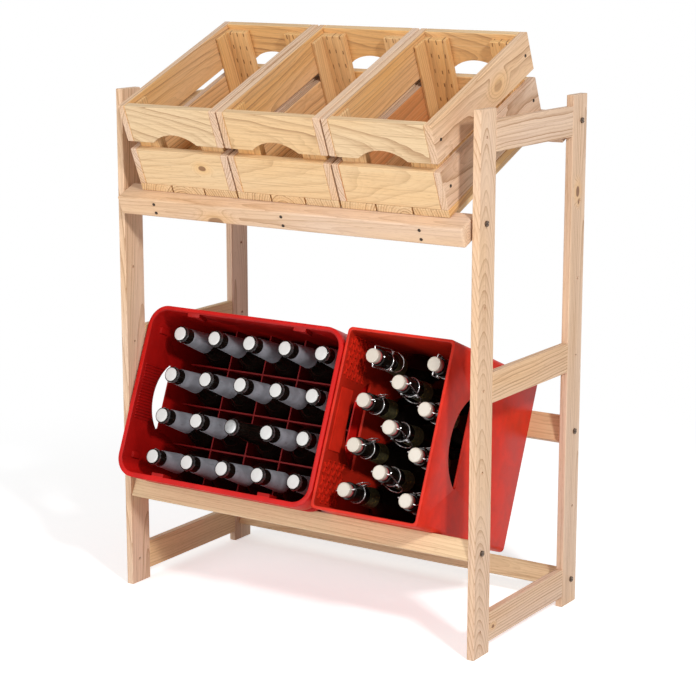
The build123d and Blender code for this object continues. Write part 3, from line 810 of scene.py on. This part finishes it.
class RACK_OT_crate_pine(bpy.types.Operator):
    """Grain on the boards, planks and battens of the wooden crates"""

    bl_idname = "rack.crate_pine"
    bl_label = "Wooden Crates"

    def execute(self, context):
        for count, name in enumerate(CRATES):
            self.crate(name, 40.0 + 7.0 * count)
        return {"FINISHED"}

    def crate(self, name, seed):
        """All the wood of one crate, each kind of board with a seed of its own."""
        sides, ends = f"{name}_crate_side_boards", f"{name}_crate_end_boards"
        wide = (ACROSS, middle(sides).x)
        up = halfway(sides, LIFT)
        deep = halfway(ends, SHELF)
        self.side_boards(name, sides, seed, (wide, up))
        self.end_boards(name, ends, seed + 1.3, (deep, up))
        self.floor_planks(f"{name}_crate_floor_planks", seed + 2.1)
        saw(f"{name}_crate_corner_battens", LIFT, SHELF, seed + 3.7, 0.98, (wide, deep), staples=0.026)

    def side_boards(self, name, node, seed, splits):
        """Two boards on each side. The lower ones of the right crate get red-brown painted shade inside."""
        more = {"base": "blush", "contrast": 1.25, "inside": self.inside(node, ACROSS)}
        if name == "right":
            knot = middle(node) + SHELF * 0.045 + LIFT * 0.034 + ACROSS * 0.09
            more |= {"knots": [(knot, 0.0085, 0.4)], "core_shade_below": splits[1][1]}
        saw(node, SHELF, ACROSS, seed, 0.56, splits, **more)

    def end_boards(self, name, node, seed, splits):
        """Two boards at each end, the lower ones with faint rings."""
        more = {"contrast": 1.15, "arch": 12.0, "inside": self.inside(node, SHELF), "calm": splits[1][1]}
        if name == "left":
            knot = middle(node) + ACROSS * 0.042 - LIFT * 0.034 - SHELF * 0.15
            more["knots"] = [(knot, 0.0050, 0.9)]
        tone = 0.62 if name == "middle" else 0.50
        saw(node, ACROSS, SHELF, seed, tone, splits, **more)

    def floor_planks(self, node, seed):
        """Three planks side by side, with warm painted shade all over but for their end grain."""
        low, high = span(node, ACROSS)
        thirds = [(ACROSS, low + (high - low) * part / 3) for part in (1, 2)]
        near, far = span(node, SHELF)
        inside = (SHELF, middle(node), (far - near) / 2 - 0.001, 0.0)
        saw(node, SHELF, LIFT, seed, 0.50, thirds, contrast=1.8, inside=inside)

    def inside(self, node, axis):
        """Where the inner faces of a crate's leaning boards lie, a little way into the wood; they get painted
        shade.
        """
        edge_tall, share = 0.004, 0.92
        low, high = span(node, LIFT)
        centre = middle(node)
        halves = []
        for level in (low, high):
            edge = [v.co for v in NODES[node].data.vertices if abs(v.co.dot(LIFT) - level) < edge_tall]
            halves.append(max(abs((place - centre).dot(axis)) for place in edge))
        lean = (halves[1] - halves[0]) / (high - low)
        half = halves[0] + (centre.dot(LIFT) - low) * lean
        return axis, centre, half - settings("rack_pine").board * share, lean


class RACK_OT_fastenings(bpy.types.Operator):
    """Dull dark steel on the screws and nails"""

    bl_idname = "rack.fastenings"
    bl_label = "Screws and Nails"

    def execute(self, context):
        screw = metal("screw_steel", (0.17, 0.125, 0.095), rough=0.45, stain=0.7)
        nail = metal("nail_steel", (0.055, 0.042, 0.034), rough=0.55, stain=0.9)
        dress(NODES["post_screws"], screw)
        dress(NODES["shelf_nails"], nail)
        for name in CRATES:
            dress(NODES[f"{name}_crate_nails"], nail)
        return {"FINISHED"}


class RACK_OT_bottle_crates(bpy.types.Operator):
    """Moulded shells with rounded edges, their grid and their pegs"""

    bl_idname = "rack.bottle_crates"
    bl_label = "Bottle Crates"

    def execute(self, context):
        look = settings("rack_crates")
        self.moulding("large", look.edge, look.large, 1.0, look.large_wall, look.large_corner)
        self.moulding("small", look.edge, look.small, 5.0, look.small_wall, look.small_corner)
        self.ribs(look, "small_crate_shell")
        # The partition's dark red is painted shade.
        inner = plastic("partition_plastic_painted_shade", look.inner, 9.0, gloss=0.15)
        dress(NODES["large_crate_grid"], inner)
        dress(NODES["small_crate_pegs"], inner)
        return {"FINISHED"}

    def moulding(self, name, rounding, shade, seed, wall, corner):
        """A shell with rounded edges in place of the plain one, with painted shade inside its walls."""
        node = f"{name}_crate_shell"
        rest()
        shell = bpy.data.objects.new(f"{name}_crate_moulding", NODES[node].data.copy())
        bpy.context.scene.collection.objects.link(shell)
        edit(shell)
        bpy.ops.mesh.remove_doubles(threshold=MERGE)
        bpy.ops.mesh.dissolve_limited(angle_limit=math.radians(1.5))
        bpy.ops.object.mode_set(mode="OBJECT")
        edge = shell.modifiers.new("moulded_edge", "BEVEL")
        edge.width = rounding
        edge.segments = 2
        edge.limit_method = "ANGLE"
        edge.angle_limit = math.radians(35.0)
        bpy.ops.object.modifier_apply(modifier=edge.name)
        bpy.ops.object.shade_smooth_by_angle(angle=math.radians(40.0))
        x_low, x_high = span(node, ACROSS)
        s_low, s_high = span(node, STACK)
        room = (middle(node), (x_high - x_low) / 2 - wall, (s_high - s_low) / 2 - wall, corner)
        dress(shell, plastic(f"{name}_crate_plastic", shade, seed, room=room))
        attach(shell, f"{name}_crate")
        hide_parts(node)

    def ribs(self, look, node):
        """Diamond ribs inside the corners of the small crate and a raised panel above each hand hole."""
        x_low, x_high = span(node, ACROSS)
        s_low, s_high = span(node, STACK)
        rim = span(node, DRAW)[1]
        width, depth, margin, below = 0.070, 0.062, 0.012, 0.006
        rib_wide, rib_tall, rib_step = 0.0024, 0.0026, 0.0155
        panel_half, panel_wide, panel_tall, panel_below = 0.052, 0.034, 0.0022, 0.026
        skin = plastic("rib_plastic", look.small, 5.0)
        for x, out in ((x_low + look.small_wall, ACROSS), (x_high - look.small_wall, -ACROSS)):
            bars = []
            for corner in (s_low + margin, s_high - margin - width):
                for line in self.diamonds(width, depth, rib_step):
                    ends = [ACROSS * x + STACK * (corner + s) + DRAW * (rim - below - d) for s, d in line]
                    bars.append(self.bar(ends, out, rib_tall, rib_wide))
            centre = ACROSS * x + STACK * (s_low + s_high) / 2 + DRAW * (rim - panel_below)
            ends = [centre - STACK * panel_half, centre + STACK * panel_half]
            bars.append(self.bar(ends, out, panel_tall, panel_wide))
            ribs = join(bars)
            ribs.name = "corner_ribs"
            dress(ribs, skin)
            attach(ribs, "small_crate")

    def diamonds(self, width, depth, step):
        """Ends of the slanting lines of a diamond lattice in a rectangle."""
        slope, shortest = 0.72, 0.004
        lines = []
        count = int((width * slope + depth) / step) + 1
        for k in range(1, count):
            offset = k * step
            low = max(0.0, (offset - depth) / slope)
            high = min(width, offset / slope)
            if high - low > shortest:
                start, end = (low, offset - low * slope), (high, offset - high * slope)
                lines.append((start, end))
                lines.append(((width - start[0], start[1]), (width - end[0], end[1])))
        return lines

    def bar(self, ends, out, tall, wide):
        """A flat bar between two points on a wall, let into it a little."""
        rest()
        bpy.ops.mesh.primitive_cube_add(size=1.0, location=(0.0, 0.0, 0.0))
        bar = bpy.context.object
        start, end = ends
        along = (end - start).normalized()
        turn = Matrix((along, out.cross(along), out)).transposed().to_4x4()
        grow = Matrix.Diagonal(((end - start).length, wide, tall, 1.0))
        bar.data.transform(Matrix.Translation((start + end) / 2 + out * tall * 0.4) @ turn @ grow)
        return bar


class RACK_OT_crown_bottles(bpy.types.Operator):
    """Crown-cap bottles with fluted caps and neck sleeves"""

    bl_idname = "rack.crown_bottles"
    bl_label = "Crown-Cap Bottles"

    def execute(self, context):
        look = settings("rack_bottles")
        places = crown_places()
        bodies = ["large_bottles"] * len(places)
        body = turned("crown_bottle", bottle_outline(look.crown, look.lip + 0.0001), look.sides)
        set_out(body, places, bodies, glass(), "dark_glass", "large_crate_bottles")
        white = lacquer("cap_lacquer", look.enamel, 0.0, 0.0)
        tin = lacquer("bare_cap_tin", look.tin, 0.9, 3.0)
        caps = set_out(self.cap(look), places, bodies, white, "cap_white", "large_crate_caps")
        for cap in caps:
            self.strip(cap, tin)
        dress(caps[BARE_CAP], tin)
        del places[BARE_CAP]
        sleeve = neck_skin("neck_sleeve", look.crown, (0.078, 0.023), gap=0.0001, skin=0.0004, slope=0.0008)
        set_out(sleeve, places, bodies, satin(), "sleeve_silver", "large_crate_sleeves")
        return {"FINISHED"}

    def strip(self, cap, tin):
        """Leave the pressed skirt of a lacquered cap in bare tin."""
        dome = 0.0030
        cap.data.materials.append(tin)
        top = max(vertex.co.dot(DRAW) for vertex in cap.data.vertices)
        for face in cap.data.polygons:
            face.material_index = int(top - face.center.dot(DRAW) > dome)

    def cap(self, look):
        """A crown cap: a shallow dome of thin tin, drawn down to a skirt whose rim is pressed into flutes."""
        flutes, skin, band = 21, 0.0003, 0.0012
        top = look.crown + 0.0006
        skirt = [(0.0133, -0.0026), (0.0141, -0.0046), (0.0147, -0.0062)]
        outline = [(0.004, 0.0001), (0.0088, 0.0), (0.0112, -0.0004), (0.0126, -0.0013)]
        outline += skirt + [(radius - skin, height) for radius, height in reversed(skirt)]
        outline += [(0.0122, -0.0016), (0.0110, -0.0007), (0.0088, -skin)]
        cap = turned("crown_cap", outline, flutes * 2, top)
        for low, press in ((0.0020, 0.985), (0.0036, 0.965), (0.0056, 0.945)):
            edit(cap, "DESELECT")
            bpy.ops.object.mode_set(mode="OBJECT")
            for vertex in cap.data.vertices:
                step = round(math.atan2(vertex.co.y, vertex.co.x) * flutes / math.pi)
                vertex.select = step % 2 == 1 and low < top - vertex.co.z < low + band
            bpy.ops.object.mode_set(mode="EDIT")
            bpy.ops.transform.resize(value=(press, press, 1.0), center_override=(0.0, 0.0, top))
        bpy.ops.object.mode_set(mode="OBJECT")
        return cap


class RACK_OT_swing_bottles(bpy.types.Operator):
    """Swing-top bottles with neck label, collar, lever, bail, stopper and gasket"""

    bl_idname = "rack.swing_bottles"
    bl_label = "Swing-Top Bottles"

    def execute(self, context):
        look = settings("rack_bottles")
        places, tops = swing_places()
        bodies = ["small_bottles"] * len(places)
        body = turned("swing_bottle", bottle_outline(look.swing, 0.0150), look.sides)
        set_out(body, places, bodies, glass(), "dark_glass", "small_crate_bottles")
        band = neck_skin("neck_label", look.swing, (0.074, 0.046), gap=0.0002, skin=0.0003)
        set_out(band, places, bodies, label(), "sleeve_silver")
        steel = metal("drawn_wire", look.steel, rough=0.24, stain=0.2)
        set_out(self.collar(look), places, bodies, steel, "wire_steel", "small_crate_collars")
        set_out(self.lever(look), places, bodies, steel, "wire_steel")
        set_out(self.bail(look), places, tops, steel, "wire_steel")
        stoppers = set_out(self.stopper(look), places, tops, glaze(), "stopper_white")
        for stopper, top in zip(stoppers, tops):
            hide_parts(top)
        set_out(self.gasket(look), places, tops, rubber(), "stopper_white")
        return {"FINISHED"}

    def collar(self, look):
        """A wire round the neck with a coiled eye on each side for the bail."""
        radius = neck_at(look.swing, look.pivot) + 0.0017
        ring = [(math.cos(k * math.pi / 8) * radius, math.sin(k * math.pi / 8) * radius) for k in range(16)]
        parts = [wire("neck_collar", [(x, y, look.pivot) for x, y in ring], look.wire, closed=True)]
        eye, inner, coil_long, steps = 0.0024, 0.0118, 0.0043, 24
        for sign in (-1.0, 1.0):
            coil = []
            for step in range(steps + 1):
                turn = step * math.pi / 4
                out = sign * (inner + coil_long * step / steps)
                coil.append((look.aside + eye * math.cos(turn), out, look.pivot + eye * math.sin(turn)))
            parts.append(wire("eye", coil, radius=0.00075))
        return join(parts)

    def lever(self, look):
        """The loop that locks the bail, laid down along the neck."""
        low = look.pivot
        half = [(look.aside, 0.0148, low - 0.001), (look.aside + 0.002, 0.0166, low - 0.006)]
        half += [(look.aside + 0.003, 0.0172, low - 0.011), (look.aside + 0.007, 0.0130, low - 0.019)]
        half += [(look.aside + 0.010, 0.0060, low - 0.023)]
        return wire("locking_lever", mirrored(half), radius=0.0010)

    def bail(self, look):
        """A bail bent from one wire: two legs from the eyes up to the stopper, and through it."""
        top, low, out = look.swing + 0.0093, look.pivot, -0.01805
        half = [(look.aside, -0.0135, low), (look.aside, out + 0.001, low)]
        half += [(look.aside - 0.0004, out, low + 0.002), (look.aside * 0.5, out, (low + top) / 2)]
        half += [(0.0004, out, top - 0.002), (0.0, out + 0.001, top), (0.0, -0.0110, top)]
        return wire("bail", mirrored(half), look.wire)

    def stopper(self, look):
        """A glazed stopper: a flat disc with rounded edges."""
        outline = [(0.0085, 0.0), (0.0112, 0.0), (0.0118, 0.0007), (0.0120, 0.0020), (0.0120, 0.0082)]
        outline += [(0.0117, 0.0092), (0.0110, 0.0097), (0.0104, 0.0097), (0.0100, 0.0093), (0.0040, 0.0093)]
        return turned("stopper", outline, sides=36, level=look.swing + 0.0053)

    def gasket(self, look):
        """A rubber ring that bulges under the stopper."""
        outline = [(0.0060, 0.0), (0.0104, 0.0), (0.0114, 0.0010), (0.0116, 0.0030), (0.0112, 0.0046)]
        outline.append((0.0090, 0.0050))
        return turned("gasket", outline, sides=36, level=look.swing + 0.0003)


class RACK_OT_stage(bpy.types.Operator):
    """Camera, lamps and a pale ground"""

    bl_idname = "rack.stage"
    bl_label = "Stage"

    def execute(self, context):
        look = settings("rack_stage")
        scene = context.scene
        scene.view_settings.view_transform = "Standard"
        rest()
        bpy.ops.object.camera_add(location=look.place)
        camera = context.object
        camera.rotation_euler = (math.radians(90.0 - look.tip), 0.0, math.radians(look.turn))
        camera.data.lens = look.lens
        scene.camera = camera
        self.lamp("key_lamp", look.key, place=(2.75, -1.75, 2.45), size=0.36)
        self.lamp("fill_lamp", look.fill, place=(-0.9, -3.4, 1.15), size=2.0)
        self.ground(look)
        self.sky(scene, look)
        return {"FINISHED"}

    def lamp(self, name, power, place, size):
        """A square lamp that points at the middle of the rack."""
        aim = Vector((0.0, 0.0, 0.5))
        rest()
        bpy.ops.object.light_add(type="AREA", location=place)
        lamp = bpy.context.object
        lamp.name = name
        lamp.data.size = size
        lamp.data.energy = power
        lamp.rotation_euler = (aim - Vector(place)).to_track_quat("-Z", "Y").to_euler()

    def ground(self, look):
        """A wide floor that shows white to the camera except where the rack shades it."""
        rest()
        lightened, fade = 0.50, (0.75, 1.5)
        bpy.ops.mesh.primitive_plane_add(size=40.0, location=(0.0, 0.0, 0.0))
        floor = bpy.context.object
        floor.name = "ground"
        sheet = Sheet("ground_paint")
        rays = self.background_rays(sheet)
        away = sheet.add("ShaderNodeVectorMath", {"operation": "LENGTH"}, {0: sheet.point}, "Value")
        matt = sheet.add("ShaderNodeBsdfDiffuse", None, {"Color": (*look.ground, 1.0)})
        glow = sheet.add("ShaderNodeEmission", None, {"Color": WHITE, "Strength": lightened})
        white = sheet.add("ShaderNodeEmission", None, {"Color": WHITE, "Strength": 1.0})
        near = sheet.add("ShaderNodeAddShader", None, {0: matt, 1: glow})
        plain = sheet.add("ShaderNodeMixShader", None, {0: away.ramp(*fade), 1: near, 2: white})
        surface = sheet.add("ShaderNodeMixShader", None, {0: rays, 1: matt, 2: plain})
        sheet.add("ShaderNodeOutputMaterial", None, {"Surface": surface})
        dress(floor, sheet.material)

    def background_rays(self, sheet):
        """One for the rays that show the background: from the camera, off gloss or through glass."""
        kinds = ("Is Camera Ray", "Is Glossy Ray", "Is Transmission Ray")
        seen, gloss, through = (sheet.add("ShaderNodeLightPath", None, None, kind) for kind in kinds)
        return seen.larger(gloss.larger(through))

    def sky(self, scene, look):
        """Even light all round, with a background that shows white."""
        world = bpy.data.worlds.new("studio")
        scene.world = world
        world.use_nodes = True
        sheet = Sheet("studio_sheet")
        bpy.data.materials.remove(sheet.material)
        sheet.tree = world.node_tree
        sheet.tree.nodes.clear()
        rays = self.background_rays(sheet)
        strength = rays * (1.0 - look.sky) + look.sky
        air = sheet.add("ShaderNodeBackground", None, {"Color": WHITE, "Strength": strength})
        sheet.add("ShaderNodeOutputWorld", None, {"Surface": air})


class RACK_PT_panel(bpy.types.Panel):
    """Lists the steps and their settings"""

    bl_idname = "RACK_PT_panel"
    bl_label = "Crate Display Rack"
    bl_space_type = "VIEW_3D"
    bl_region_type = "UI"
    bl_category = "Crate Rack"

    def draw(self, context):
        for step in STEPS:
            self.layout.operator(step.bl_idname)
        for group, kind in GROUPS.items():
            box = self.layout.box()
            for name in kind.__annotations__:
                box.prop(settings(group), name)


GROUPS = {
    "rack_pine": PineSettings,
    "rack_crates": CrateSettings,
    "rack_bottles": BottleSettings,
    "rack_stage": StageSettings,
}
STEPS = (
    RACK_OT_pine,
    RACK_OT_crate_pine,
    RACK_OT_fastenings,
    RACK_OT_bottle_crates,
    RACK_OT_crown_bottles,
    RACK_OT_swing_bottles,
    RACK_OT_stage,
)
CLASSES = (*GROUPS.values(), *STEPS, RACK_PT_panel)


def register():
    for kind in CLASSES:
        bpy.utils.register_class(kind)
    for group, kind in GROUPS.items():
        setattr(bpy.types.Scene, group, PointerProperty(type=kind))


def unregister():
    for group in GROUPS:
        delattr(bpy.types.Scene, group)
    for kind in reversed(CLASSES):
        bpy.utils.unregister_class(kind)


def main():
    register()
    bpy.ops.rack.pine()
    bpy.ops.rack.crate_pine()
    bpy.ops.rack.fastenings()
    bpy.ops.rack.bottle_crates()
    bpy.ops.rack.crown_bottles()
    bpy.ops.rack.swing_bottles()
    bpy.ops.rack.stage()


if __name__ == "__main__":
    main()
